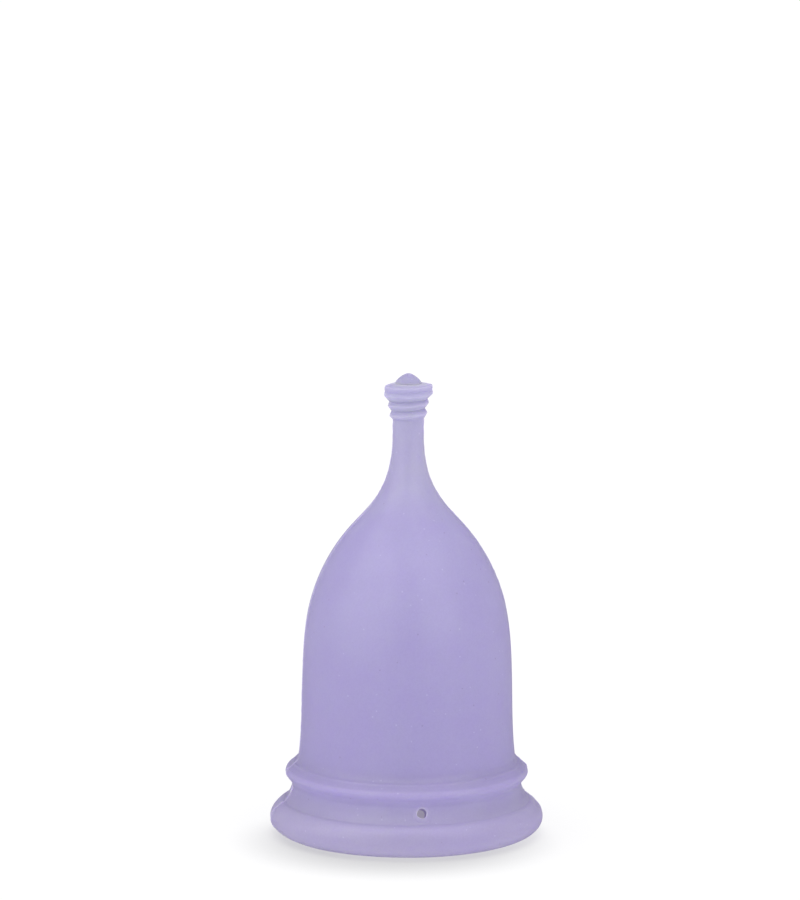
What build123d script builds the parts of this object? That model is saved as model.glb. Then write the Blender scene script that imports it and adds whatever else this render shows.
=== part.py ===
"""A silicone menstrual cup with a drain valve in its stem, standing on its rim. Millimetres, +Z up.

The origin is on the cup's axis, in the plane that the rim stands on. -Y is the front, and XZ is the plane
where the two halves of the mould meet. The real cup is one moulding, so its sub-parts are the regions that
the trade names: the rim, the collar with the vent holes, the secondary rim, the body, the base, the stem,
the ribbed valve head, and the two lips of the slit in its dome. Everything is hollow, so that a full cup
drains through the stem when the head is squeezed.
"""

import os
from math import cos, radians, sin

from build123d import *

# Overall size
LENGTH = 68.5
RIM_RADIUS = 39.4 / 2

# Heights where one region ends and the next begins
RIM_TOP = 5.0
COLLAR_TOP = 7.5
SECONDARY_TOP = 11.9
BODY_TOP = 36.0
BASE_TOP = 54.0
STEM_TOP = 61.6
DOME_BASE = 66.9

# Rim: rounded under and over, on a narrow flat foot
FOOT_RADIUS = 16.2
FOOT_INNER_RADIUS = 15.7
SIDE_LOW = 2.5
SIDE_HIGH = 2.6
MOUTH_RADIUS = 15.0
MOUTH_ROUNDING = 0.8

# Stem
STEM_RADIUS = 2.22
STEM_BORE_RADIUS = 1.0
STRAIGHT_STEM_FROM = 59.5
WIDE_BORE_BELOW = 56.5

# Outside outline above the rim, as (radius, height): over the collar and the secondary rim to the wall
CREASE = (17.95, RIM_TOP)
COLLAR_SLOPE = (17.2, 6.2)
WAIST = (16.83, COLLAR_TOP)
WAIST_TURN = (16.94, 7.9)
BEAD_FOOT = (17.2, 8.3)
BEAD_LOW_EDGE = (17.5, 8.7)
BEAD_WIDEST = (17.8, 9.45)
BEAD_HIGH_EDGE = (17.4, 10.02)
LEDGE = (16.6, 10.7)
LEDGE_TURN = (16.12, 11.2)
WALL_FOOT = (15.9, SECONDARY_TOP)
# and up the wall, over the shoulder and into the stem
WALL = ((15.5, 18.5), (15.3, 26.0), (14.4, 34.0), (12.1, 40.2), (8.7, 45.3), (5.0, 49.55), (3.02, 53.4))
WALL_LEAN = (-0.12, 1)

# Inside outline, as (radius, height): down from the bore into the bell, then past the secondary rim
CAVITY = ((1.65, 51.6), (3.7, 47.9), (7.0, 43.9), (10.3, 39.2), (12.65, 33.2), (13.6, 25.5), (13.85, 18.0))
CAVITY_FOOT = (14.1, SECONDARY_TOP)
CAVITY_FLARE = (14.55, 8.6)
CAVITY_LEAN = (0.05, -1)

# Four vent holes, square to the collar's slope
VENT_COUNT = 4
VENT_RADIUS = 0.68
VENT_HEIGHT = 6.65
VENT_SURFACE_RADIUS = 17.02
VENT_SLOPE = 20.0
VENT_REACH = 3.8

# Valve head: each rib's foot height, top height, foot radius and widest radius
RIBS = ((61.6, 62.95, 2.22, 2.68), (62.95, 64.35, 2.4, 2.92))
RIB_EDGE = 0.4
RIB_BROW = 0.68
RIB_EDGE_INSET = 0.04
# its flange, as (radius, height): up the cone under it, round its side, and on to its sloping top
FLANGE_FOOT = (2.62, 64.35)
FLANGE_CONE_END = (3.37, 65.05)
FLANGE_LOW_TURN = (3.45, 65.19)
FLANGE_LOW_EDGE = (3.47, 65.35)
FLANGE_GROOVE = (3.4, 65.75)
FLANGE_HIGH_EDGE = (3.44, 66.15)
FLANGE_HIGH_TURN = (3.42, 66.38)
FLANGE_SHOULDER = (3.26, 66.54)
# and the chamber inside it
CHAMBER_RADIUS = 1.5
CHAMBER_FLOOR = 64.0
BORE_TOP = 63.2

# Slit dome
DOME_RADIUS = 1.98
DOME_WALL = 0.5
DOME_SEAT_RADIUS = 2.08
DOME_OUTSIDE = (1.13, 67.87)
DOME_INSIDE = (0.83, 67.5)
DOME_LEAN = (0.6, -1)
LIP_GAP = 0.03
SLIT_WIDTH = 0.04


def outer_outline():
    """The outside of the moulding, from the foot to the top of the stem."""
    EllipticalCenterArc((FOOT_RADIUS, SIDE_LOW), RIM_RADIUS - FOOT_RADIUS, SIDE_LOW, start_angle=270)
    Line((RIM_RADIUS, SIDE_LOW), (RIM_RADIUS, SIDE_HIGH))
    TangentArc((RIM_RADIUS, SIDE_HIGH), CREASE, tangent=(0, 1))
    ThreePointArc(CREASE, COLLAR_SLOPE, WAIST)
    ThreePointArc(WAIST, WAIST_TURN, BEAD_FOOT)
    Line(BEAD_FOOT, BEAD_LOW_EDGE)
    ThreePointArc(BEAD_LOW_EDGE, BEAD_WIDEST, BEAD_HIGH_EDGE)
    Line(BEAD_HIGH_EDGE, LEDGE)
    ThreePointArc(LEDGE, LEDGE_TURN, WALL_FOOT)
    Spline(WALL_FOOT, *WALL, (STEM_RADIUS, STRAIGHT_STEM_FROM), tangents=[WALL_LEAN, (0, 1)])
    Line((STEM_RADIUS, STRAIGHT_STEM_FROM), (STEM_RADIUS, STEM_TOP))


def inner_outline():
    """The inside of the moulding, from the top of the stem's bore to the foot."""
    Line((STEM_BORE_RADIUS, STEM_TOP), (STEM_BORE_RADIUS, WIDE_BORE_BELOW))
    Spline((STEM_BORE_RADIUS, WIDE_BORE_BELOW), *CAVITY, CAVITY_FOOT, tangents=[(0, -1), CAVITY_LEAN])
    Spline(CAVITY_FOOT, CAVITY_FLARE, (MOUTH_RADIUS, RIM_TOP), tangents=[CAVITY_LEAN, (0, -1)])
    Line((MOUTH_RADIUS, RIM_TOP), (MOUTH_RADIUS, MOUTH_ROUNDING))
    TangentArc((MOUTH_RADIUS, MOUTH_ROUNDING), (FOOT_INNER_RADIUS, 0), tangent=(0, -1))


def region(low, high):
    """The half section of the moulding between two heights."""
    with BuildSketch(Plane.XZ) as section:
        with BuildLine():
            outer_outline()
            Line((STEM_RADIUS, STEM_TOP), (STEM_BORE_RADIUS, STEM_TOP))
            inner_outline()
            Line((FOOT_INNER_RADIUS, 0), (FOOT_RADIUS, 0))
        make_face()
        with Locations((RIM_RADIUS, (low + high) / 2)):
            Rectangle(2 * RIM_RADIUS, high - low, mode=Mode.INTERSECT)
    return section.sketch


def vent_plane(turn):
    """A plane just outside the collar, facing a vent's mouth; turn counts the vents from the front."""
    heading = radians(turn * 360 / VENT_COUNT - 90)
    slope = radians(VENT_SLOPE)
    outward = Vector(cos(heading) * cos(slope), sin(heading) * cos(slope), sin(slope))
    mouth = Vector(cos(heading) * VENT_SURFACE_RADIUS, sin(heading) * VENT_SURFACE_RADIUS, VENT_HEIGHT)
    return Plane(origin=mouth + outward, z_dir=outward)


def rib(low, high, foot_radius, top_radius, next_radius):
    """A rib's outline: a cone that widens upwards, then a rounded edge that turns in to the next foot."""
    edge = (top_radius - RIB_EDGE_INSET, low + RIB_EDGE * (high - low))
    brow = (top_radius, low + RIB_BROW * (high - low))
    Line((foot_radius, low), edge)
    ThreePointArc(edge, brow, (next_radius, high))


def flange():
    """The flange at the top of the head: a cone under it, a shallow groove round it, a sloping top."""
    Line(FLANGE_FOOT, FLANGE_CONE_END)
    ThreePointArc(FLANGE_CONE_END, FLANGE_LOW_TURN, FLANGE_LOW_EDGE)
    ThreePointArc(FLANGE_LOW_EDGE, FLANGE_GROOVE, FLANGE_HIGH_EDGE)
    ThreePointArc(FLANGE_HIGH_EDGE, FLANGE_HIGH_TURN, FLANGE_SHOULDER)
    Line(FLANGE_SHOULDER, (DOME_SEAT_RADIUS, DOME_BASE))


os.makedirs("parts", exist_ok=True)

with BuildPart() as rim:
    add(region(0, RIM_TOP))
    revolve(axis=Axis.Z)
rim.part.label = "rim"

with BuildPart() as vent_collar:
    add(region(RIM_TOP, COLLAR_TOP))
    revolve(axis=Axis.Z)
    for turn in range(VENT_COUNT):
        with BuildSketch(vent_plane(turn)):
            Circle(VENT_RADIUS)
        extrude(amount=-VENT_REACH, mode=Mode.SUBTRACT)
vent_collar.part.label = "vent_collar"

with BuildPart() as secondary_rim:
    add(region(COLLAR_TOP, SECONDARY_TOP))
    revolve(axis=Axis.Z)
secondary_rim.part.label = "secondary_rim"

with BuildPart() as cup_body:
    add(region(SECONDARY_TOP, BODY_TOP))
    revolve(axis=Axis.Z)
cup_body.part.label = "cup_body"

with BuildPart() as cup_base:
    add(region(BODY_TOP, BASE_TOP))
    revolve(axis=Axis.Z)
cup_base.part.label = "cup_base"

with BuildPart() as stem:
    add(region(BASE_TOP, STEM_TOP))
    revolve(axis=Axis.Z)
stem.part.label = "stem"

with BuildPart() as valve_head:
    with BuildSketch(Plane.XZ):
        with BuildLine():
            next_feet = [foot_radius for _, _, foot_radius, _ in RIBS[1:]] + [FLANGE_FOOT[0]]
            for (low, high, foot_radius, top_radius), next_radius in zip(RIBS, next_feet):
                rib(low, high, foot_radius, top_radius, next_radius)
            flange()
            Polyline(
                (DOME_SEAT_RADIUS, DOME_BASE),
                (CHAMBER_RADIUS, DOME_BASE),
                (CHAMBER_RADIUS, CHAMBER_FLOOR),
                (STEM_BORE_RADIUS, BORE_TOP),
                (STEM_BORE_RADIUS, STEM_TOP),
                (STEM_RADIUS, STEM_TOP),
            )
        make_face()
    revolve(axis=Axis.Z)
valve_head.part.label = "valve_head"


def valve_lip(side):
    """Half of the slit dome; side is -1 for the front lip and 1 for the back one."""
    base = DOME_BASE + LIP_GAP
    inner_radius = DOME_RADIUS - DOME_WALL
    inner_tip = (0, LENGTH - DOME_WALL)
    with BuildPart() as lip:
        with BuildSketch(Plane.XZ):
            with BuildLine():
                Line(inner_tip, (0, LENGTH))
                Spline((0, LENGTH), DOME_OUTSIDE, (DOME_RADIUS, base), tangents=[(1, 0), DOME_LEAN])
                Line((DOME_RADIUS, base), (inner_radius, base))
                Spline(inner_tip, DOME_INSIDE, (inner_radius, base), tangents=[(1, 0), DOME_LEAN])
            make_face()
        revolve(axis=Axis.Z)
        with Locations((0, side * (SLIT_WIDTH / 2 + RIM_RADIUS), LENGTH)):
            Box(2 * RIM_RADIUS, 2 * RIM_RADIUS, LENGTH, mode=Mode.INTERSECT)
    return lip


valve_lip_front = valve_lip(-1)
valve_lip_front.part.label = "valve_lip_front"
valve_lip_back = valve_lip(1)
valve_lip_back.part.label = "valve_lip_back"

sub_parts = (
    rim,
    vent_collar,
    secondary_rim,
    cup_body,
    cup_base,
    stem,
    valve_head,
    valve_lip_front,
    valve_lip_back,
)
for piece in sub_parts:
    export_step(piece.part, f"parts/{piece.part.label}.step")
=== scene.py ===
"""The looks of a lilac silicone cup with a drain valve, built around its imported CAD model.

Outlines are (radius, height) pairs in millimetres, as in the CAD. They become metres when a mesh is made.
"""

import math

import bpy
import numpy as np
from mathutils import Matrix, Vector, noise


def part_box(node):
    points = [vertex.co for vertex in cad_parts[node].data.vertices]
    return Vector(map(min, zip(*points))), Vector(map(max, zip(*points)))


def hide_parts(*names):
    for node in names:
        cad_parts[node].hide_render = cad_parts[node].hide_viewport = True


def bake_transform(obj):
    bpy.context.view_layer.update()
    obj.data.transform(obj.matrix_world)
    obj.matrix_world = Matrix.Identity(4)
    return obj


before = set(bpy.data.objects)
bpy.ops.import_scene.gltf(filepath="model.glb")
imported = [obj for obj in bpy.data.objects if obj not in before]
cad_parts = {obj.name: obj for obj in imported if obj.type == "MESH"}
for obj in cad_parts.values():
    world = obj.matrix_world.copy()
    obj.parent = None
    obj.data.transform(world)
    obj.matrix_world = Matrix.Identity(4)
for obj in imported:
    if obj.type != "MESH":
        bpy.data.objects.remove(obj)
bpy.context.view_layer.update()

MM = 0.001

# Driving sizes, read from the CAD nodes
RIM_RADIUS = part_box("rim")[1].x / MM
RIM_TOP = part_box("rim")[1].z / MM
COLLAR_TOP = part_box("vent_collar")[1].z / MM
SECONDARY_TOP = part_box("secondary_rim")[1].z / MM
STEM_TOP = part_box("stem")[1].z / MM
DOME_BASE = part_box("valve_head")[1].z / MM
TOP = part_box("valve_lip_front")[1].z / MM

# Sizes that the outlines share
FOOT_RADIUS = 16.2
FOOT_INNER_RADIUS = 15.7
SIDE_HEIGHT = 2.5
CREASE_RADIUS = 17.95
WAIST_RADIUS = 16.83
SECONDARY_RADIUS = 17.8
WALL_RADIUS = 15.9
INSIDE_RADIUS = 14.1
MOUTH_RADIUS = 15.0
MOUTH_ROUNDING = 0.8
STEM_RADIUS = 2.22
STEM_FOOT = 59.5
BORE_RADIUS = 1.0
BORE_FOOT = 56.5
CHAMBER_RADIUS = 1.5
DOME_RADIUS = 1.98
DOME_WALL = 0.5

# Points of the outer outline, from the rim over the secondary ring to the wall
RIM_SIDE = (RIM_RADIUS, SIDE_HEIGHT)
RIM_SHOULDER = (18.99, 4.35)
CREASE = (CREASE_RADIUS, RIM_TOP)
COLLAR_SLOPE = (17.2, 6.2)
WAIST = (WAIST_RADIUS, COLLAR_TOP)
WAIST_FLARE = (16.94, 7.9)
RING_FOOT = (17.2, 8.3)
RING_LOW = (17.5, 8.7)
RING_CROWN = (SECONDARY_RADIUS, 9.45)
RING_HIGH = (17.4, 10.02)
RING_TOP = (16.6, 10.7)
WALL_FILLET = (16.12, 11.2)
WALL_FOOT = (WALL_RADIUS, SECONDARY_TOP)
# The bell from the ring to the stem, outside and inside
BELL_OUTSIDE = [
    WALL_FOOT,
    (15.5, 18.5),
    (15.3, 26.0),
    (14.4, 34.0),
    (12.1, 40.2),
    (8.7, 45.3),
    (5.0, 49.55),
    (3.02, 53.4),
    (STEM_RADIUS, STEM_FOOT),
]
BELL_INSIDE = [
    (BORE_RADIUS, BORE_FOOT),
    (1.65, 51.6),
    (3.7, 47.9),
    (7.0, 43.9),
    (10.3, 39.2),
    (12.65, 33.2),
    (13.6, 25.5),
    (13.85, 18.0),
    (INSIDE_RADIUS, SECONDARY_TOP),
]
COLLAR_INSIDE = [(INSIDE_RADIUS, SECONDARY_TOP), (14.55, 8.6), (MOUTH_RADIUS, RIM_TOP)]

# Vent holes, each as its angle in degrees and the height of the burr at its mouth
VENTS = ((270, 0.03), (0, 0.1), (90, 0.05), (180, 0.04))
VENT_RADIUS = 0.7
VENT_HEIGHT = 6.65
VENT_SLOPE = math.radians(20)
# Each is cut in a window of the skin: its half angle, its heights, and how much lower it lies inside
WINDOW_ANGLE = math.radians(6)
WINDOW_LOW = RIM_TOP
WINDOW_HIGH = 7.95
WINDOW_DROP = 0.75
# Rings of points round a vent: beside its mark, at its mouth and where it comes out inside
MARK_RINGS = (0.14, 0.07, 0.0, -0.07, -0.14)
MARK_CLEARANCE = 0.45
MARK_RING_GAP = 0.06
VENT_MOUTH = 0.13
VENT_INNER_MOUTH = 0.1
VENT_TAPER = 0.96

# The fine ridge where the mould's halves meet, in the XZ plane
PARTING_HEIGHT = 0.1
PARTING_WIDTH = 0.12

# Valve head: its ribs sit askew, so here is how far it rises per millimetre of X, by height
SKEW_HEIGHTS = (STEM_TOP - 0.4, STEM_TOP + 0.7, 63.8, 65.3, 66.5, DOME_BASE)
SKEWS = (0, 0.07, 0.07, 0.028, 0.03, 0)
# and its flaws, as (angle in degrees, height, width, height of the mark, depth)
HEAD_FLAWS = (
    (262, 62.75, 0.12, 0.1, 0.09),
    (285, 63.4, 0.45, 0.05, 0.06),
    (306, 64.9, 0.09, 0.22, 0.08),
    (244, 65.7, 0.15, 0.1, 0.05),
)
SLIT_GAP = 0.04
LIP_ROUNDING = 0.06
LIP_ROUNDING_WIDTH = 0.09
DOME_TOP = TOP - 0.2
DOME_FOOT = DOME_BASE - 0.1
LIP_OUTSIDE = [(DOME_RADIUS, DOME_FOOT), (1.36, 67.6), (0.84, 67.98), (0, DOME_TOP)]
LIP_INSIDE = [(0, DOME_TOP - DOME_WALL), (0.75, 67.45), (DOME_RADIUS - DOME_WALL, DOME_FOOT)]

# Soft silicone settles: the rim is a touch wider along X than along Y, and this fades out at the crease
RIM_OVAL = 0.36
OVAL_TOP = RIM_TOP - 0.2
OVAL_FADE = 2.0
# How much of the crease above the rim is filled where it fades out, and over what half height
CREASE_FILL = 0.2
CREASE_FILL_HEIGHT = 0.6
# Fine raised lines round the secondary rim, as (height, half width, relief)
BEAD_LINES = ((10.68, 0.12, 0.06), (9.3, 0.1, 0.04))
# How far the skin waves in and out, all over and, more finely, on the head
SKIN_WAVES = 0.03
HEAD_WAVES = 0.03
# Relief fades out towards the dome and the foot
RELIEF_TOP = DOME_BASE - 0.05
RELIEF_TOP_FADE = 0.2
RELIEF_FOOT_FADE = 0.3


# ---------------------------------------------------------------- outlines
# Each function gives its points about one step apart


def straight(start, end, step):
    """A straight run."""
    start, end = np.array(start, float), np.array(end, float)
    count = max(1, round(np.linalg.norm(end - start) / step))
    return start + (end - start) * np.linspace(0, 1, count + 1)[:, None]


def turn(centre, radii, first, last, step):
    """Part of an ellipse, from one angle in degrees to another."""
    angles = np.radians([first, last])
    count = max(2, round(abs(angles[1] - angles[0]) * max(radii) / step))
    a = np.linspace(angles[0], angles[1], count + 1)
    return np.array(centre) + np.c_[radii[0] * np.cos(a), radii[1] * np.sin(a)]


def arc(start, middle, end, step):
    """The circle's arc through three points."""
    a, b, c = (complex(*p) for p in (start, middle, end))
    w = (c - a) / (b - a)
    centre = (b - a) * (w - abs(w) ** 2) / (2j * w.imag) + a
    sweep = np.angle((b - centre) / (a - centre)) + np.angle((c - centre) / (b - centre))
    count = max(2, round(abs(sweep) * abs(a - centre) / step))
    points = centre + (a - centre) * np.exp(1j * sweep * np.linspace(0, 1, count + 1))
    return np.c_[points.real, points.imag]


def smooth(points, start_way, end_way, step):
    """A cubic spline through the points, with the given directions at its two ends."""
    p = np.array(points, float)
    h = np.linalg.norm(np.diff(p, axis=0), axis=1)
    n = len(p)
    system, right = np.eye(n), np.zeros((n, 2))
    right[0] = np.array(start_way) / np.hypot(*start_way)
    right[-1] = np.array(end_way) / np.hypot(*end_way)
    for i in range(1, n - 1):
        system[i, i - 1 : i + 2] = h[i], 2 * (h[i - 1] + h[i]), h[i - 1]
        right[i] = 3 * (h[i] / h[i - 1] * (p[i] - p[i - 1]) + h[i - 1] / h[i] * (p[i + 1] - p[i]))
    slope = np.linalg.solve(system, right)
    found = []
    for i in range(n - 1):
        count = max(1, round(h[i] / step))
        t = np.linspace(0, 1, count + 1)[:, None]
        found.append(
            (1 + 2 * t) * (1 - t) ** 2 * p[i]
            + t * (1 - t) ** 2 * h[i] * slope[i]
            + t * t * (3 - 2 * t) * p[i + 1]
            + t * t * (t - 1) * h[i] * slope[i + 1]
        )
    return np.concatenate(found)


def rounded(corners, step):
    """Straight runs between corners given as (radius, height, rounding)."""
    points = [np.array(c[:2], float) for c in corners]
    found = [points[0][None]]
    for i in range(1, len(corners) - 1):
        before, here, after = points[i - 1 : i + 2]
        into, out = (before - here), (after - here)
        into, out = into / np.linalg.norm(into), out / np.linalg.norm(out)
        half = math.acos(max(-1, min(1, into @ out))) / 2
        reach = corners[i][2] / math.tan(half)
        start, end = here + into * reach, here + out * reach
        bisector = (into + out) / np.linalg.norm(into + out)
        middle = here + bisector * corners[i][2] * (1 / math.sin(half) - 1)
        found.append(straight(found[-1][-1], start, step))
        found.append(arc(start, middle, end, step / 2))
    found.append(straight(found[-1][-1], points[-1], step))
    return np.concatenate(found)


def joined(*pieces):
    """One outline from several, without the points that repeat."""
    points = np.concatenate(pieces)
    gap = np.linalg.norm(np.diff(points, axis=0), axis=1)
    return points[np.r_[True, gap > 1e-6]]


def outside_of_cup():
    """From the foot's outer edge to the top of the stem."""
    fine = 0.08
    return joined(
        turn((FOOT_RADIUS, SIDE_HEIGHT), (RIM_RADIUS - FOOT_RADIUS, SIDE_HEIGHT), -90, 0, 0.2),
        arc(RIM_SIDE, RIM_SHOULDER, CREASE, 0.2),
        arc(CREASE, COLLAR_SLOPE, WAIST, 0.16),
        arc(WAIST, WAIST_FLARE, RING_FOOT, fine),
        straight(RING_FOOT, RING_LOW, fine),
        arc(RING_LOW, RING_CROWN, RING_HIGH, fine),
        straight(RING_HIGH, RING_TOP, fine),
        arc(RING_TOP, WALL_FILLET, WALL_FOOT, fine),
        smooth(BELL_OUTSIDE, (-0.12, 1), (0, 1), 0.5),
        outside_of_head(),
    )


def outside_of_head():
    """Up the last of the stem, over two ribs and the flange, and under the foot of the dome."""
    return rounded(
        [
            (STEM_RADIUS, STEM_FOOT, 0),
            (STEM_RADIUS, STEM_TOP + 0.04, 0.2),
            # the lower rib and the groove over it
            (2.72, 62.28, 0.16),
            (2.36, 62.99, 0.09),
            # the upper rib and its groove
            (2.96, 63.77, 0.16),
            (2.68, 64.37, 0.1),
            # the flange, with a slight dip in its side
            (3.49, 65.16, 0.12),
            (3.49, 65.42, 0.12),
            (3.37, 65.8, 0.3),
            (3.43, 66.1, 0.12),
            (3.42, 66.48, 0.14),
            # the opening under the dome
            (2.0, DOME_BASE - 0.03, 0.08),
            (1.9, DOME_BASE - 0.04, 0.03),
            (CHAMBER_RADIUS, DOME_BASE - 0.5, 0),
        ],
        0.1,
    )


def inside_of_cup():
    """From the chamber under the dome, down the stem's bore, to the foot's inner edge."""
    return joined(
        rounded(
            [
                (CHAMBER_RADIUS, DOME_BASE - 0.6, 0),
                (CHAMBER_RADIUS, 64.0, 0.2),
                (BORE_RADIUS, 63.2, 0.2),
                (BORE_RADIUS, STEM_TOP, 0),
            ],
            0.5,
        ),
        straight((BORE_RADIUS, STEM_TOP), (BORE_RADIUS, BORE_FOOT), 1.0),
        smooth(BELL_INSIDE, (0, -1), (0.05, -1), 1.0),
        smooth(COLLAR_INSIDE, (0.05, -1), (0, -1), 0.35),
        straight((MOUTH_RADIUS, RIM_TOP), (MOUTH_RADIUS, MOUTH_ROUNDING), 0.4),
        turn(
            (FOOT_INNER_RADIUS, MOUTH_ROUNDING),
            (FOOT_INNER_RADIUS - MOUTH_RADIUS, MOUTH_ROUNDING),
            180,
            270,
            0.15,
        ),
    )


# ---------------------------------------------------------------- meshes


def add_object(name, data):
    """A new object in the scene, from a mesh, a light or a camera."""
    made = bpy.data.objects.new(name, data)
    bpy.context.scene.collection.objects.link(made)
    return made


def make_piece(name, points, faces):
    """A smooth-shaded mesh object from points in millimetres."""
    mesh = bpy.data.meshes.new(name)
    mesh.from_pydata([tuple(float(c) * MM for c in p) for p in points], [], faces)
    mesh.validate()
    mesh.update()
    mesh.shade_smooth()
    return add_object(name, mesh)


def normals_of(outline):
    """The outward normal at each point of an outline that runs anticlockwise round its solid."""
    way = np.roll(outline, -1, axis=0) - np.roll(outline, 1, axis=0)
    way /= np.linalg.norm(way, axis=1)[:, None]
    return np.c_[way[:, 1], -way[:, 0]]


def spin_angles():
    """Every 2 degrees, every 1 degree beside a vent, and closer still where the mould's halves meet."""
    steps = [2.0] * 39
    plain = [1.0] * 6
    parting = [0.2, 0.25, 0.35, 0.5, 0.7, 1.0, 1.0, 1.0, 1.0]
    quarter = parting + steps + plain
    gaps = quarter + quarter[::-1]
    gaps += gaps
    return np.radians(np.r_[0, np.cumsum(gaps)[:-1]])


def waviness(x, y, z, size, seed):
    """Smooth noise from -1 to 1 whose bumps are about size millimetres across."""
    return noise.noise(Vector((x / size + seed, y / size, z / size)))


def parting_ridge(x, y, z):
    """How far the mould's parting line stands out of the surface, in millimetres."""
    width = PARTING_WIDTH * (1 + 0.3 * waviness(x, 0, z, size=1.3, seed=4.0))
    height = PARTING_HEIGHT * (1 + 0.6 * waviness(x, 0, z, size=0.8, seed=9.0))
    return max(0.0, height) * math.exp(-((y / width) ** 2))


class Grid:
    """A mesh in the making: points, the way that relief lifts each, faces, and which points line a vent."""

    def __init__(self):
        self.points = []
        self.lifts = []
        self.faces = []
        self.lining = []

    def add(self, point, lift):
        """Adds one point and returns its number."""
        self.points.append(np.array(point, float))
        self.lifts.append(np.array(lift, float))
        return len(self.points) - 1

    def loop_strip(self, one, two):
        """Faces between two closed loops of the same length."""
        for k in range(len(one)):
            following = (k + 1) % len(one)
            self.faces.append((one[k], one[following], two[following], two[k]))


def spun(outline, angles, lift_until):
    """A closed outline turned about the axis. Points before lift_until may be lifted by relief."""
    grid = Grid()
    normals = normals_of(outline)
    rows = []
    for i, ((r, z), (nr, nz)) in enumerate(zip(outline, normals)):
        may_lift = 1.0 if i < lift_until else 0.0
        rows.append(
            [
                grid.add(
                    (r * math.cos(a), r * math.sin(a), z),
                    (nr * math.cos(a) * may_lift, nr * math.sin(a) * may_lift, nz * may_lift),
                )
                for a in angles
            ]
        )
    return grid, rows


def slide_to(point, way, radius_at):
    """Moves a point along a direction until it lies on a surface of revolution."""
    p = np.array(point, float)
    for _ in range(20):
        r = math.hypot(p[0], p[1])
        closing = (way[0] * p[0] + way[1] * p[1]) / r
        p = p + way * (radius_at(p[2]) - r) / closing
    return p


class Vent:
    """The axis of one vent hole, and the marks that its mould pin leaves round the mouth."""

    MARK_RADIUS = 1.18
    MARK_DROP = 0.42
    MARK_HEIGHT = 0.06
    MARK_WIDTH = 0.08
    BURR_OFFSET = 0.16
    BURR_WIDTH = 0.12

    def __init__(self, angle, burr, radius_at):
        self.angle = angle
        self.burr = burr
        out = np.array([math.cos(angle), math.sin(angle), 0])
        up = np.array([0, 0, 1.0])
        self.out = out * math.cos(VENT_SLOPE) + up * math.sin(VENT_SLOPE)
        self.side = np.array([-math.sin(angle), math.cos(angle), 0])
        self.rise = np.cross(self.out, self.side)
        self.centre = out * radius_at(VENT_HEIGHT) + up * VENT_HEIGHT

    def polar(self, point):
        """Distance and direction from the hole's axis."""
        away = np.array(point) - self.centre
        across, up = away @ self.side, away @ self.rise
        return math.hypot(across, up), math.atan2(up, across)

    def at(self, distance, direction):
        """The point at a distance and direction from the hole's axis."""
        way = math.cos(direction) * self.side + math.sin(direction) * self.rise
        return self.centre + way * distance

    def edge(self, direction):
        """The hole's radius, a little uneven as a moulded hole is."""
        x, y = math.cos(direction), math.sin(direction)
        return VENT_RADIUS * (1 + 0.09 * waviness(x, y, self.angle, size=0.9, seed=2.0))

    def mark_at(self, direction):
        """The distance of the round mark, whose centre lies a little down the slope."""
        x, y = math.cos(direction), math.sin(direction)
        return math.sqrt(self.MARK_RADIUS**2 - (self.MARK_DROP * x) ** 2) - self.MARK_DROP * y

    def relief(self, point):
        """How far the mark and the burr stand out at a point, in millimetres."""
        distance, direction = self.polar(point)
        x, y = math.cos(direction), math.sin(direction)
        uneven = 1 + 0.5 * waviness(x, y, self.angle, size=0.5, seed=7.0)
        lower_side = 0.5 - 0.5 * y
        off_mark = (distance - self.mark_at(direction)) / self.MARK_WIDTH
        off_edge = (distance - self.edge(direction) - self.BURR_OFFSET) / self.BURR_WIDTH
        mark = self.MARK_HEIGHT * lower_side * uneven * math.exp(-(off_mark**2))
        return mark + self.burr * lower_side * uneven * math.exp(-(off_edge**2))


def window_loop(rows, columns):
    """The boundary of a window in the grid, once round; rows run from the lowest to the highest."""
    loop = [rows[0][c] for c in columns]
    loop += [row[columns[-1]] for row in rows[1:]]
    loop += [rows[-1][c] for c in columns[-2::-1]]
    loop += [row[columns[0]] for row in rows[-2:0:-1]]
    return loop


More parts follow.
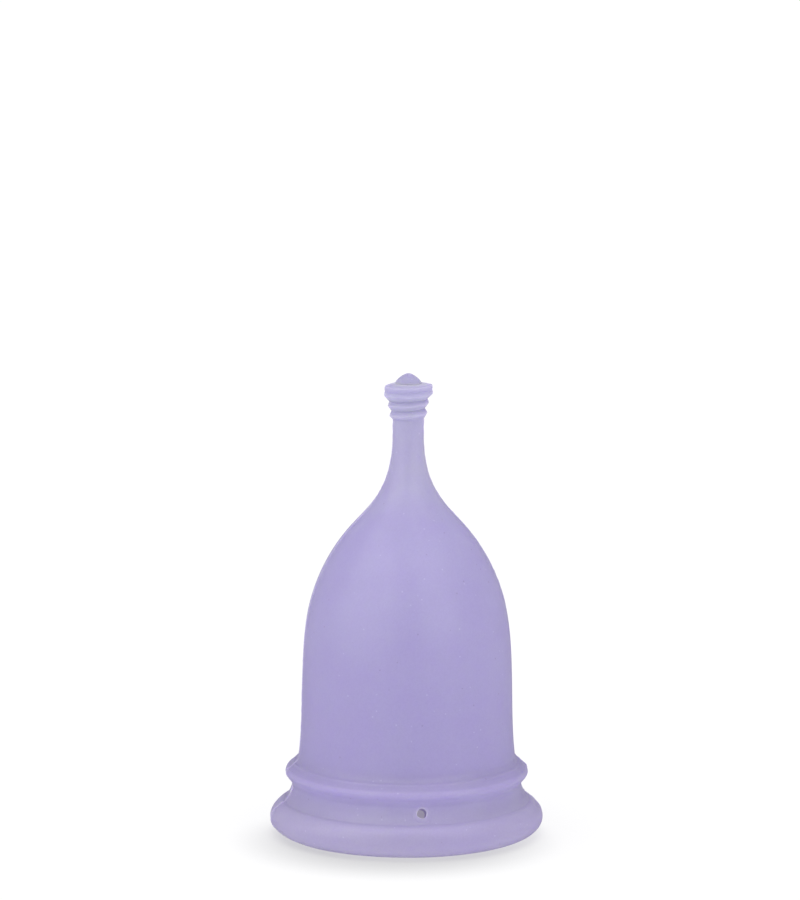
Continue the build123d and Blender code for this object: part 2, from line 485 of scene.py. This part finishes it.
def cut_vent(grid, vent, outer_loop, inner_loop, outer, inner):
    """Fills both windows round a vent with rings that close in on its edges, and lines the hole."""
    ways = [vent.polar(grid.points[k])[1] for k in outer_loop]
    edges = [vent.edge(w) for w in ways]
    marks = [vent.mark_at(w) for w in ways]

    def lift_at(point):
        """The wall's own normal, so that relief doesn't widen or close the hole."""
        r = math.hypot(point[0], point[1])
        nr, nz = outer["normal_at"](point[2])
        return nr * point[0] / r, nr * point[1] / r, nz

    def outer_ring(distances, depth=0.0):
        """A ring on the outer surface, or sunk into the hole."""
        made = []
        for distance, way in zip(distances, ways):
            point = slide_to(vent.at(distance, way), vent.out, outer["radius_at"])
            made.append(grid.add(point - vent.out * depth, lift_at(point)))
        return made

    def inner_ring(distances):
        """A ring on the inner surface, where there is no relief."""
        points = [slide_to(vent.at(d, w), vent.out, inner["radius_at"]) for d, w in zip(distances, ways)]
        return [grid.add(p, (0, 0, 0)) for p in points]

    def between(one, two, share, surface):
        """A ring part of the way from one to another, on a surface if one is given."""
        made = []
        for a, b in zip(one, two):
            point = grid.points[a] * (1 - share) + grid.points[b] * share
            if surface:
                point = slide_to(point, vent.out, surface["radius_at"])
            made.append(grid.add(point, lift_at(point) if surface is outer else (0, 0, 0)))
        return made

    mark_rings = []
    for k, offset in enumerate(MARK_RINGS):
        nearest = [e + MARK_CLEARANCE - MARK_RING_GAP * k for e in edges]
        mark_rings.append(outer_ring([max(m + offset, least) for m, least in zip(marks, nearest)]))
    mouth = outer_ring([e + VENT_MOUTH for e in edges])
    loops = [outer_loop, *(between(outer_loop, mark_rings[0], s, outer) for s in (0.35, 0.7)), *mark_rings]
    loops += [between(mark_rings[-1], mouth, s, outer) for s in (0.4, 0.75)]
    loops += [mouth]
    for widening, depth in ((0.05, 0.03), (0.012, 0.08), (0.0, 0.2)):
        loops.append(outer_ring([e + widening for e in edges], depth))
    inner_edge = inner_ring([e * VENT_TAPER for e in edges])
    inner_mouth = inner_ring([e + VENT_INNER_MOUTH for e in edges])
    loops += [between(loops[-1], inner_edge, s, None) for s in (0.25, 0.5, 0.75, 0.93)]
    loops += [inner_mouth, between(inner_mouth, inner_loop, 0.45, inner), inner_loop]
    for one, two in zip(loops, loops[1:]):
        grid.loop_strip(one, two)
    first = loops.index(mouth) + 1
    for loop in loops[first : loops.index(inner_mouth)]:
        grid.lining.extend(loop)


def surface_of(outline, low, high):
    """Radius and normal at a height, for the stretch of an outline between two heights."""
    keep = (outline[:, 1] >= low) & (outline[:, 1] <= high)
    part, normals = outline[keep], normals_of(outline)[keep]
    order = np.argsort(part[:, 1])
    z, r, n = part[order, 1], part[order, 0], normals[order]
    return {
        "radius_at": lambda height: float(np.interp(height, z, r)),
        "normal_at": lambda height: tuple(float(np.interp(height, z, n[:, i])) for i in (0, 1)),
    }


def cut_vents(grid, rows, angles, outer_window, inner_window, outer, inner):
    """Cuts every vent, and returns them with the places in the grid that they leave open."""
    vents, open_faces = [], set()
    for degrees, burr in VENTS:
        vent = Vent(math.radians(degrees), burr, outer["radius_at"])
        vents.append(vent)
        gap = (angles - vent.angle + math.pi) % (2 * math.pi) - math.pi
        columns = [int(j) for j in np.argsort(gap) if abs(gap[j]) < WINDOW_ANGLE + 1e-4]
        for i in [*outer_window[:-1], *inner_window[1:]]:
            open_faces.update((i, j) for j in columns[:-1])
        outer_loop = window_loop([rows[i] for i in outer_window], columns)
        inner_loop = window_loop([rows[i] for i in inner_window], columns)
        cut_vent(grid, vent, outer_loop, inner_loop, outer, inner)
    return vents, open_faces


def make_cup_skin():
    """The bell, rims, collar, stem and valve head as one moulding, inside and out, with its four vents."""
    outside, inside = outside_of_cup(), inside_of_cup()
    outer = surface_of(outside, WINDOW_LOW - 0.01, WINDOW_HIGH + 0.5)
    inner = surface_of(inside, WINDOW_LOW - 2, WINDOW_HIGH + 1)
    windowed = [i for i, (r, z) in enumerate(outside) if WINDOW_LOW - 1e-6 <= z <= WINDOW_HIGH]
    # inside the wall, the window's rows match those outside one for one, lower by the vents' fall
    heights = outside[windowed[::-1], 1] - WINDOW_DROP
    matched = np.c_[[inner["radius_at"](z) for z in heights], heights]
    above = inside[inside[:, 1] > heights[0] + 0.1]
    below = inside[inside[:, 1] < heights[-1] - 0.1]
    angles = spin_angles()
    grid, rows = spun(np.concatenate([outside, above, matched, below]), angles, len(outside))
    first_inner = len(outside) + len(above)
    outer_window = range(windowed[0], windowed[-1] + 1)
    inner_window = range(first_inner + len(matched) - 1, first_inner - 1, -1)
    vents, open_faces = cut_vents(grid, rows, angles, outer_window, inner_window, outer, inner)
    for i, row in enumerate(rows):
        next_row = rows[(i + 1) % len(rows)]
        for j in range(len(angles)):
            if (i, j) not in open_faces:
                k = (j + 1) % len(angles)
                grid.faces.append((row[j], row[k], next_row[k], next_row[j]))
    points = []
    for point, lift in zip(grid.points, grid.lifts):
        raised = point + lift * relief(point, vents) if lift.any() else point
        points.append(settled(raised))
    skin = make_piece("silicone_cup_skin", points, grid.faces)
    lining = skin.data.attributes.new("vent_lining", "FLOAT", "POINT")
    for k in grid.lining:
        lining.data[k].value = 1.0
    return skin


def relief(point, vents):
    """How far the surface stands out of its outline, in millimetres."""
    x, y, z = point
    amount = parting_ridge(x, y, z)
    amount += SKIN_WAVES * waviness(x, y, z, size=9.0, seed=1.0)
    for height, half_width, rise in BEAD_LINES:
        uneven = 0.8 + 0.4 * waviness(x, y, z, size=3.0, seed=5.0)
        amount += rise * uneven * math.exp(-(((z - height) / half_width) ** 2))
    if z > STEM_TOP:
        amount += HEAD_WAVES * waviness(x, y, z, size=1.6, seed=3.0) + head_flaws(point)
    if 3 < z < 9:
        near = [v for v in vents if v.polar(point)[0] < 2.5 and v.out @ point > 0]
        amount += sum(v.relief(point) for v in near)
        # the crease above the rim fades out to the right of the front
        fading = 0.5 + 0.5 * math.sin(math.atan2(y, x) + math.radians(120))
        amount += CREASE_FILL * fading * math.exp(-(((z - RIM_TOP) / CREASE_FILL_HEIGHT) ** 2))
    below_top = min(1.0, max(0.0, (RELIEF_TOP - z) / RELIEF_TOP_FADE))
    above_foot = min(1.0, z / RELIEF_FOOT_FADE)
    return amount * (below_top * above_foot)


def settled(point):
    """The small ways in which the whole moulding is out of true: an oval rim, and ribs that sit askew."""
    x, y, z = point
    share = min(1.0, max(0.0, (OVAL_TOP - z) / OVAL_FADE))
    oval = RIM_OVAL * share * share * (3 - 2 * share) / RIM_RADIUS
    return np.array([x * (1 + oval), y * (1 - oval), z + x * float(np.interp(z, SKEW_HEIGHTS, SKEWS))])


def head_flaws(point):
    """Small dents and nicks in the ribs, in millimetres of relief."""
    found = 0.0
    for angle, z, wide, tall, depth in HEAD_FLAWS:
        a = math.radians(angle)
        x, y = math.cos(a), math.sin(a)
        across = -point[0] * y + point[1] * x
        facing = point[0] * x + point[1] * y > 0
        if facing:
            found -= depth * math.exp(-((across / wide) ** 2) - ((point[2] - z) / tall) ** 2)
    return found


def spun_lip(outline, side):
    """The points of half a dome and, for each turn, the numbers of the points down its outline."""
    near_slit = [0.0, 1.2, 2.6, 4.5, 7.5, 12.0]
    turns = np.radians(np.r_[near_slit, np.arange(18, 163, 6), 180 - np.array(near_slit[::-1])])
    normals = normals_of(outline)
    points, columns = [], []
    for a in turns:
        column = []
        for (r, z), (nr, nz) in zip(outline, normals):
            if r < 1e-6 and columns:
                # a point on the axis is shared by every turn
                column.append(columns[0][len(column)])
                continue
            x, y = r * math.cos(a), side * r * math.sin(a)
            rounding = LIP_ROUNDING * math.exp(-((y / LIP_ROUNDING_WIDTH) ** 2))
            point = np.array([x, y, z])
            point -= rounding * np.array([nr * math.cos(a), side * nr * math.sin(a), nz])
            points.append(point + np.array([0, side * SLIT_GAP / 2, 0]))
            column.append(len(points) - 1)
        columns.append(column)
    return points, columns


def make_lip(side):
    """Half of the slit dome, its cut edges slightly rounded.

    The side is -1 for the front lip and 1 for the back one.
    """
    outer_curve = smooth(LIP_OUTSIDE, (-0.45, 1), (-1, 0), 0.12)
    inner_curve = smooth(LIP_INSIDE, (1, 0), (0.5, -1), 0.16)
    points, columns = spun_lip(np.concatenate([outer_curve, inner_curve]), side)
    count = len(columns[0])
    faces = []
    for one, two in zip(columns, columns[1:]):
        for i in range(count):
            k = (i + 1) % count
            corners = [one[i], two[i], two[k], one[k]]
            corners = [c for n, c in enumerate(corners) if c not in corners[:n]]
            if len(corners) > 2:
                faces.append(tuple(corners if side > 0 else corners[::-1]))
    # the cut faces, from the outer curve across to the inner one
    outer_gaps, inner_gaps = len(outer_curve) - 1, len(inner_curve) - 1
    for column, way in ((columns[0], 1), (columns[-1], -1)):
        for i in range(outer_gaps):
            j = count - 1 - round(i * inner_gaps / outer_gaps)
            k = count - 1 - round((i + 1) * inner_gaps / outer_gaps)
            corners = [column[i], column[i + 1], column[k]] + ([column[j]] if j != k else [])
            faces.append(tuple(corners[:: way * side]))
    name = "silicone_lip_front" if side < 0 else "silicone_lip_back"
    return make_piece(name, points, faces)


# ---------------------------------------------------------------- materials

# How the colour runs up the cup, as (height, screen colour): thin silicone is paler and greyer, and some
# stops are painted light.
COLOURS = (
    (4.0, (164, 157, 189)),
    (6.5, (163, 156, 193)),
    # painted light: paler in the hollow under the secondary rim, offsetting its shade
    (7.9, (172, 163, 207)),
    (8.7, (166, 158, 199)),
    (9.3, (158, 151, 189)),
    (10.0, (155, 147, 186)),
    # paler towards the shoulder: thinner silicone, and painted light from above
    (12.5, (157, 149, 192)),
    (22.0, (159, 151, 195)),
    (36.0, (163, 156, 198)),
    (47.0, (164, 157, 199)),
    (55.0, (171, 167, 197)),
    (65.0, (172, 170, 199)),
    (66.6, (163, 160, 190)),
    (66.8, (165, 162, 192)),
    # painted light: a pale band at the dome's foot, offsetting the shade where the lips meet the head
    (66.88, (192, 188, 216)),
)
LIP_COLOURS = (
    # painted light: paler at the lips' foot, offsetting the shade where they meet the head
    (66.9, (178, 175, 203)),
    (67.1, (162, 159, 190)),
    (68.0, (161, 158, 189)),
)
# Screen colours of the pigment's clouds, of its pale marks and painted light, and of dark dust, and two in
# linear light
DEEP_COLOUR = (156, 144, 195)
PALE_COLOUR = (215, 208, 230)
DARK_COLOUR = (110, 92, 128)
WHITE = (1.0, 1.0, 1.0, 1.0)
BLACK = (0.0, 0.0, 0.0, 1.0)
# How far light travels inside, in metres
BODY_DEPTH = 0.0024
LIP_DEPTH = 0.0008
# How much of another colour shows in the pigment's clouds, in the vents as painted light, and on the parting
# line
CLOUD_SHARE = 0.3
LINING_PAINTED_LIGHT = 0.6
PARTING_SHARE = 0.2
# Where the parting line's colour fades, in metres: beside the XZ plane, and up the stem
PARTING_EDGE = (0.00006, 0.00018)
PARTING_TOP = (0.06, 0.062)
# Sizes of the clouds, the grain, the patches of sheen and the broad unevenness, in millimetres
CLOUD_SIZE, GRAIN_SIZE, FINE_SIZE, SHEEN_SIZE, BROAD_SIZE = 7.0, 0.3, 0.25, 1.2, 2.5
GRAIN_DARKER, GRAIN_PALER = 0.02, 0.012
# The values between which noise mostly lies
NOISE_SPAN = (0.3, 0.7)
# Dust, as (cell size in millimetres, share of cells with a speck, seed, colour, strength)
DUST = ((0.55, 0.035, 0.3, PALE_COLOUR, 0.25), (0.6, 0.025, 0.7, DARK_COLOUR, 0.3))
SPECK_EDGE = (0.12, 0.3)
# The bell's satin, the heights in metres between which it gives way to the duller head, and by how much
SATIN = (0.33, 0.41)
HEAD_EDGE = (0.058, 0.062)
HEAD_ROUGHER = 0.2
SPECULAR, HEAD_SPECULAR = 0.5, 0.2


class Nodes:
    """A short way to make and link shader nodes."""

    def __init__(self, tree):
        self.tree = tree
        self.tree.nodes.clear()

    def add(self, kind, inputs=None, **settings):
        """A node whose inputs are links, where they are given as sockets, or else values."""
        node = self.tree.nodes.new("ShaderNode" + kind)
        for name, value in settings.items():
            setattr(node, name, value)
        for name, value in (inputs or {}).items():
            if isinstance(value, bpy.types.NodeSocket):
                self.tree.links.new(value, node.inputs[name])
            else:
                node.inputs[name].default_value = value
        return node

    def mix(self, share, one, two):
        """One colour turned towards another."""
        node = self.add("Mix", data_type="RGBA")
        for name, value in (("Factor_Float", share), ("A_Color", one), ("B_Color", two)):
            socket = next(i for i in node.inputs if i.identifier == name)
            if isinstance(value, bpy.types.NodeSocket):
                self.tree.links.new(value, socket)
            else:
                socket.default_value = value
        return next(o for o in node.outputs if o.identifier == "Result_Color")

    def ramp(self, value, low, high, out_low=0.0, out_high=1.0):
        """A smooth step between two values."""
        node = self.add(
            "MapRange",
            {"Value": value, "From Min": low, "From Max": high, "To Min": out_low, "To Max": out_high},
            interpolation_type="SMOOTHSTEP",
        )
        return node.outputs["Result"]

    def maths(self, operation, one, two=0.0):
        """The result of one operation on two values, or on the first alone."""
        return self.add("Math", {0: one, 1: two}, operation=operation).outputs[0]


def srgb(red, green, blue):
    """Screen colour, 0 to 255, as linear light."""
    parts = [c / 255 for c in (red, green, blue)]
    return tuple(c / 12.92 if c <= 0.04045 else ((c + 0.055) / 1.055) ** 2.4 for c in parts) + (1.0,)


def colour_at(n, height, colours):
    """The colour that a table of (height, screen colour) gives at a height."""
    run = n.add("ValToRGB", {"Fac": n.maths("DIVIDE", height, TOP * MM)})
    stops = run.color_ramp.elements
    while len(stops) < len(colours):
        stops.new(0.5)
    for stop, (at_height, screen_colour) in zip(stops, colours):
        stop.position = at_height / TOP
        stop.color = srgb(*screen_colour)
    return run.outputs["Color"]


def noise_at(n, place, size_mm, detail=2.0, roughness=0.5):
    """Noise whose bumps are about a size in millimetres across."""
    settings = {"Vector": place, "Scale": 1000 / size_mm, "Detail": detail, "Roughness": roughness}
    return n.add("TexNoise", settings).outputs["Fac"]


def specks(n, place, size_mm, share, seed):
    """Small round dots, one in some share of the cells of a size."""
    moved = n.add("VectorMath", {0: place, 1: (seed, seed, seed)}, operation="ADD").outputs[0]
    cells = n.add("TexVoronoi", {"Vector": moved, "Scale": 1000 / size_mm}, feature="F1")
    near = n.ramp(cells.outputs["Distance"], *SPECK_EDGE, 1.0, 0.0)
    chosen = n.add("SeparateColor", {"Color": cells.outputs["Color"]}).outputs["Red"]
    return n.maths("MULTIPLY", near, n.maths("LESS_THAN", chosen, share))


def make_silicone(name, colours, depth):
    """Satin lilac silicone: milky light inside, a fine moulded grain, the dust that silicone picks up, and
    painted light in the vents' bores and in its colours by height.
    """
    material = bpy.data.materials.new(name)
    material.use_nodes = True
    n = Nodes(material.node_tree)
    place = n.add("TexCoord").outputs["Object"]
    axes = n.add("SeparateXYZ", {"Vector": place}).outputs
    height = axes["Z"]
    colour = colour_at(n, height, colours)

    # slow clouding of the pigment, then the fine grain
    cloud = n.ramp(noise_at(n, place, CLOUD_SIZE), *NOISE_SPAN)
    colour = n.mix(cloud, colour, n.mix(CLOUD_SHARE, colour, srgb(*DEEP_COLOUR)))
    grain = n.ramp(noise_at(n, place, GRAIN_SIZE, roughness=0.6), *NOISE_SPAN)
    colour = n.mix(grain, n.mix(GRAIN_DARKER, colour, BLACK), n.mix(GRAIN_PALER, colour, WHITE))

    # painted light: the vents' narrow bores are paler, standing in for the light that gathers there
    lining = n.add("Attribute", attribute_name="vent_lining").outputs["Fac"]
    colour = n.mix(n.maths("MULTIPLY", lining, LINING_PAINTED_LIGHT), colour, srgb(*PALE_COLOUR))

    # the mould's parting line is paler, from the rim to the stem
    near_parting = n.ramp(n.maths("ABSOLUTE", axes["Y"]), *PARTING_EDGE, 1.0, 0.0)
    below_head = n.ramp(height, *PARTING_TOP, 1.0, 0.0)
    on_parting = n.maths("MULTIPLY", near_parting, below_head)
    colour = n.mix(n.maths("MULTIPLY", on_parting, PARTING_SHARE), colour, srgb(*PALE_COLOUR))

    # dust: a few pale specks and fewer dark ones
    for size_mm, share, seed, screen_colour, strength in DUST:
        found = specks(n, place, size_mm, share, seed)
        colour = n.mix(n.maths("MULTIPLY", found, strength), colour, srgb(*screen_colour))

    # the ribbed head is duller than the bell
    satin = n.ramp(noise_at(n, place, SHEEN_SIZE, detail=3.0), *NOISE_SPAN, *SATIN)
    roughness = n.maths("ADD", satin, n.ramp(height, *HEAD_EDGE, 0.0, HEAD_ROUGHER))
    fine_height, broad_height = noise_at(n, place, FINE_SIZE), noise_at(n, place, BROAD_SIZE)
    fine = n.add("Bump", {"Strength": 0.1, "Distance": 0.00001, "Height": fine_height}).outputs[0]
    broad_relief = {"Strength": 0.2, "Distance": 0.0001, "Height": broad_height, "Normal": fine}
    shader = n.add(
        "BsdfPrincipled",
        {
            "Base Color": colour,
            "Roughness": roughness,
            "Normal": n.add("Bump", broad_relief).outputs[0],
            "IOR": 1.41,
            "Specular IOR Level": n.ramp(height, *HEAD_EDGE, SPECULAR, HEAD_SPECULAR),
            "Subsurface Weight": 0.75,
            "Subsurface Radius": (1.0, 0.8, 1.35),
            "Subsurface Scale": depth,
        },
    )
    n.add("OutputMaterial", {"Surface": shader.outputs[0]})
    return material


# ---------------------------------------------------------------- stage

# The camera stands a little to the left of the front, and is aimed by the angles, in degrees
CAMERA_AZIMUTH = math.radians(-7.5)
CAMERA_DISTANCE = 0.75
CAMERA_HEIGHT = 0.17777
CAMERA_LENS = 208.5
TURN_LEFT, LOOK_DOWN, ROLL = 0.091, 9.15, 0.25

# The white surroundings, and how much of them reflections see
SKY = 0.94
SKY_IN_REFLECTIONS = 0.15
SOFTBOX_DISTANCE = 0.7
SOFTBOX_AIM = Vector((0, 0, 0.03))

# The floor's glow, which paints a shadow for the camera, with the distances between which it changes: from
# the painted shadow's centre out of it, then from the cup's axis beside the rim, where it adds painted light
# at the contact, and under the cup, where it is painted light through the silicone
FLOOR_REACH = 4.0
SHADOW_CENTRE = (-0.0024, -0.0067, 0.0)
SHADOW_EDGE, SHADOW_GLOW, BEYOND_GLOW = (0.012, 0.026), 0.44, 0.71
CONTACT_EDGE, CONTACT_GLOW = (0.0165, 0.0195), 0.11
UNDER_EDGE, UNDER_GLOW = (0.0135, 0.0155), 0.33
UNDER_TINT = (0.85, 0.78, 1.0, 1.0)


def by_ray(nodes, usual, glossy, camera):
    """One value for most rays, and others for what reflections and the camera see of the studio."""
    path = nodes.add("LightPath").outputs
    value = nodes.add("Mix", {"Factor": path["Is Glossy Ray"], "A": usual, "B": glossy}).outputs["Result"]
    return nodes.add("Mix", {"Factor": path["Is Camera Ray"], "A": value, "B": camera}).outputs["Result"]


def make_floor():
    """A pale table whose glow, as the camera sees it, paints a soft shadow round the cup.

    Under the cup, as seen through a vent, its glow takes the silicone's colour: painted light through the
    silicone.
    """
    mesh = bpy.data.meshes.new("floor")
    corners = [(x * FLOOR_REACH, y * FLOOR_REACH, 0) for x, y in ((-1, -1), (1, -1), (1, 1), (-1, 1))]
    mesh.from_pydata(corners, [], [(0, 1, 2, 3)])
    floor = add_object("floor", mesh)
    material = bpy.data.materials.new("pale_floor")
    material.use_nodes = True
    n = Nodes(material.node_tree)
    place = n.add("TexCoord").outputs["Object"]
    from_axis = n.add("VectorMath", {0: place}, operation="LENGTH").outputs["Value"]
    from_shadow = n.add("VectorMath", {0: place, 1: SHADOW_CENTRE}, operation="DISTANCE").outputs["Value"]
    # painted shadow: the camera sees less glow near the cup, centred towards the front
    painted_shadow = n.ramp(from_shadow, *SHADOW_EDGE, SHADOW_GLOW, BEYOND_GLOW)
    # painted light that eases the shadow at the rim's contact
    contact = n.ramp(from_axis, *CONTACT_EDGE, CONTACT_GLOW, 0.0)
    outside = n.maths("ADD", painted_shadow, contact)
    clear_of_cup = n.ramp(from_axis, *UNDER_EDGE)
    # painted light: under the cup the floor glows lilac, as if lit through the silicone
    seen = n.add("Mix", {"Factor": clear_of_cup, "A": UNDER_GLOW, "B": outside}).outputs["Result"]
    tint = n.mix(clear_of_cup, UNDER_TINT, WHITE)
    shade = by_ray(n, usual=0.4, glossy=0.1, camera=0.25)
    glow = by_ray(n, usual=0.8, glossy=0.1, camera=seen)
    lit = n.add("BsdfDiffuse", {"Color": n.add("CombineColor", {0: shade, 1: shade, 2: shade}).outputs[0]})
    luminous = n.add("Emission", {"Color": tint, "Strength": glow})
    shader = n.add("AddShader", {0: lit.outputs[0], 1: luminous.outputs[0]})
    n.add("OutputMaterial", {"Surface": shader.outputs[0]})
    mesh.materials.append(material)


def make_world():
    """White all round, dimmer in reflections."""
    world = bpy.data.worlds.new("studio")
    bpy.context.scene.world = world
    world.use_nodes = True
    n = Nodes(world.node_tree)
    strength = by_ray(n, usual=SKY, glossy=SKY * SKY_IN_REFLECTIONS, camera=1.0)
    background = n.add("Background", {"Color": WHITE, "Strength": strength})
    n.add("OutputWorld", {"Surface": background.outputs[0]})


def make_softbox(name, azimuth, elevation, width, height, power):
    """A soft box for the sheen alone. Azimuth 0 is the camera's side, and it is positive to its right."""
    a, e = math.radians(azimuth) + CAMERA_AZIMUTH, math.radians(elevation)
    way = Vector((math.sin(a) * math.cos(e), -math.cos(a) * math.cos(e), math.sin(e)))
    data = bpy.data.lights.new(name, "AREA")
    data.shape = "RECTANGLE"
    data.size, data.size_y = width, height
    data.energy = power
    light = add_object(name, data)
    light.location = way * SOFTBOX_DISTANCE + SOFTBOX_AIM
    light.rotation_euler = way.to_track_quat("Z", "Y").to_euler()
    light.visible_diffuse = False


def make_overhead(strength, spread, forward, right):
    """An even light from above, as from a large ceiling softbox.

    Its angles are in degrees. It leans forward to the camera, and to the camera's right.
    """
    data = bpy.data.lights.new("overhead", "SUN")
    data.energy = strength
    data.angle = math.radians(spread)
    light = add_object("overhead", data)
    light.rotation_euler = (math.radians(forward), math.radians(right), CAMERA_AZIMUTH)


def make_camera():
    """A long lens from the front, a little to the left and above."""
    data = bpy.data.cameras.new("camera")
    data.lens = CAMERA_LENS
    data.sensor_width = 36.0
    data.clip_start, data.clip_end = 0.05, 20.0
    camera = add_object("camera", data)
    across, back = math.sin(CAMERA_AZIMUTH), -math.cos(CAMERA_AZIMUTH)
    camera.location = (CAMERA_DISTANCE * across, CAMERA_DISTANCE * back, CAMERA_HEIGHT)
    aim = Matrix.Rotation(CAMERA_AZIMUTH + math.radians(TURN_LEFT), 4, "Z")
    aim = aim @ Matrix.Rotation(math.radians(90 - LOOK_DOWN), 4, "X")
    aim = aim @ Matrix.Rotation(math.radians(ROLL), 4, "Z")
    camera.rotation_euler = aim.to_euler()
    bpy.context.scene.camera = camera


# ---------------------------------------------------------------- the scene

skin = make_cup_skin()
skin.data.materials.append(make_silicone("lilac_silicone", COLOURS, BODY_DEPTH))
lips = {"lip_front": make_lip(-1), "lip_back": make_lip(1)}
thin_silicone = make_silicone("thin_lilac_silicone", LIP_COLOURS, LIP_DEPTH)
for lip in lips.values():
    lip.data.materials.append(thin_silicone)

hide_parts("rim", "vent_collar", "secondary_rim", "cup_body", "cup_base", "stem", "valve_head")
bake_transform(skin)
for body, lip in lips.items():
    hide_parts("valve_" + body)
    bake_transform(lip)

make_camera()
make_floor()
make_world()
make_overhead(strength=1.15, spread=80, forward=12, right=-4)
make_softbox("softbox_left", azimuth=-50, elevation=30, width=0.9, height=0.85, power=3.6)
make_softbox("softbox_right", azimuth=42, elevation=30, width=0.6, height=0.85, power=2.3)
bpy.context.scene.view_settings.view_transform = "Standard"
